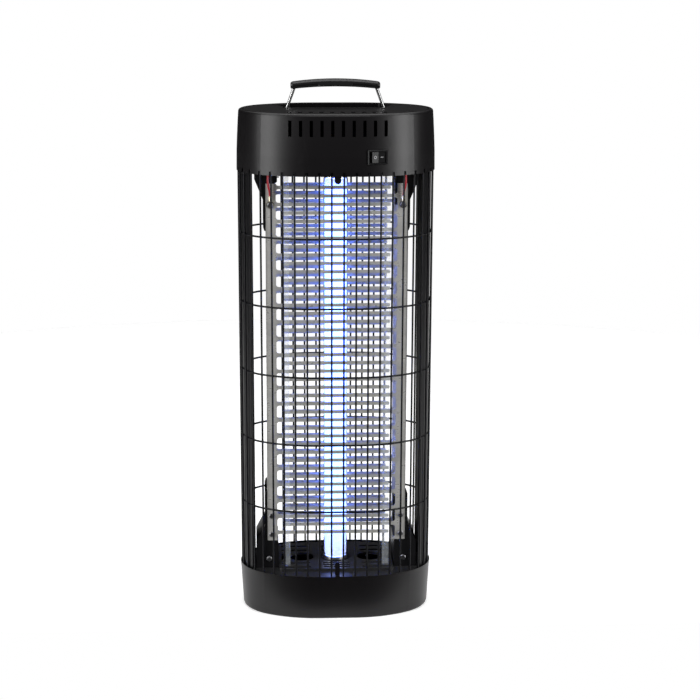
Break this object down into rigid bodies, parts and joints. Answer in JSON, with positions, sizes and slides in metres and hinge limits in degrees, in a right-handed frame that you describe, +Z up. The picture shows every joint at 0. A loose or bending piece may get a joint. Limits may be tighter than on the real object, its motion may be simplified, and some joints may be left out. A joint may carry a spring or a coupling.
{
  "type": "electric bug zapper",
  "caption": "Upright electric bug zapper with an oval wire guard, interleaved electrode combs round an ultraviolet tube, a folding handle and a slide-out tray.",
  "frame": {"origin": "centre of the face that the zapper stands on", "axes": "+X right seen from the front, +Y back, +Z up"},
  "size_m": [0.21, 0.1307, 0.576],
  "materials": {
    "housing_black": "satin",
    "inner_black": "matte",
    "switch_black": "gloss",
    "grip_black": "satin",
    "bright_wire": "polished",
    "guard_black": "satin",
    "galvanised": "bright",
    "clear_strip": "clear",
    "screw_steel": "bright",
    "terminal_brass": "plated",
    "lead_red": "satin",
    "lamp_glass": "lit tube",
    "lamp_aluminium": "satin",
    "foot_rubber": "matte",
    "board_green": "satin",
    "post_white": "matte",
    "core_steel": "dull",
    "winding_tape": "satin",
    "capacitor_blue": "gloss",
    "ballast_grey": "satin"
  },
  "bodies": {
    "main": {"top_housing": "housing_black", "top_lid": "housing_black", "lid_screws": "screw_steel", "housing_screws": "screw_steel", "switch_body": "switch_black", "switch_terminals": "terminal_brass", "cord_gland": "housing_black", "guard_wires": "guard_black", "guard_ring_1": "guard_black", "guard_ring_2": "guard_black", "guard_ring_3": "guard_black", "guard_ring_4": "guard_black", "guard_ring_5": "guard_black", "left_front_comb": "galvanised", "left_rear_comb": "galvanised", "left_comb_web": "galvanised", "right_front_comb": "galvanised", "right_rear_comb": "galvanised", "right_comb_web": "galvanised", "left_front_spacer": "clear_strip", "left_rear_spacer": "clear_strip", "right_front_spacer": "clear_strip", "right_rear_spacer": "clear_strip", "left_lower_insulator": "inner_black", "left_upper_insulator": "inner_black", "right_lower_insulator": "inner_black", "right_upper_insulator": "inner_black", "left_high_voltage_lead": "lead_red", "right_high_voltage_lead": "lead_red", "left_side_column": "inner_black", "right_side_column": "inner_black", "comb_screws": "screw_steel", "foot_screws": "screw_steel", "ring_terminals": "terminal_brass", "lower_lamp_holder": "inner_black", "upper_lamp_holder": "inner_black", "holder_screws": "screw_steel", "upper_deck": "inner_black", "base_deck": "inner_black", "base_shell": "housing_black", "base_plate": "housing_black", "base_screws": "screw_steel", "rubber_feet": "foot_rubber", "power_board": "board_green", "board_posts": "post_white", "transformer_core": "core_steel", "transformer_winding": "winding_tape", "capacitors": "capacitor_blue", "lamp_ballast": "ballast_grey"},
    "handle": {"handle_bail": "bright_wire", "handle_grip": "grip_black"},
    "rocker": {"power_rocker": "switch_black"},
    "tray": {"collection_tray": "housing_black"},
    "lamp": {"uv_lamp": "lamp_glass", "lamp_caps": "lamp_aluminium", "lamp_pins": "terminal_brass", "lower_lamp_rotor": "inner_black", "upper_lamp_rotor": "inner_black"}
  },
  "joints": [
    {"name": "handle_fold", "type": "hinge", "parent": "main", "child": "handle", "pos_m": [0, 0.012, 0.541], "axis": [-1, 0, 0], "range_deg": [0, 90]},
    {"name": "rocker_tilt", "type": "hinge", "parent": "main", "child": "rocker", "pos_m": [0.04004, -0.05788, 0.502], "axis": [0, 0, -1], "range_deg": [0, 18]},
    {"name": "tray_slide", "type": "slide", "parent": "main", "child": "tray", "axis": [0, 1, 0], "range_m": [0, 0.1]},
    {"name": "lamp_twist", "type": "hinge", "parent": "main", "child": "lamp", "pos_m": [0, 0, 0.2635], "axis": [0, 0, 1], "range_deg": [0, 90]}
  ]
}
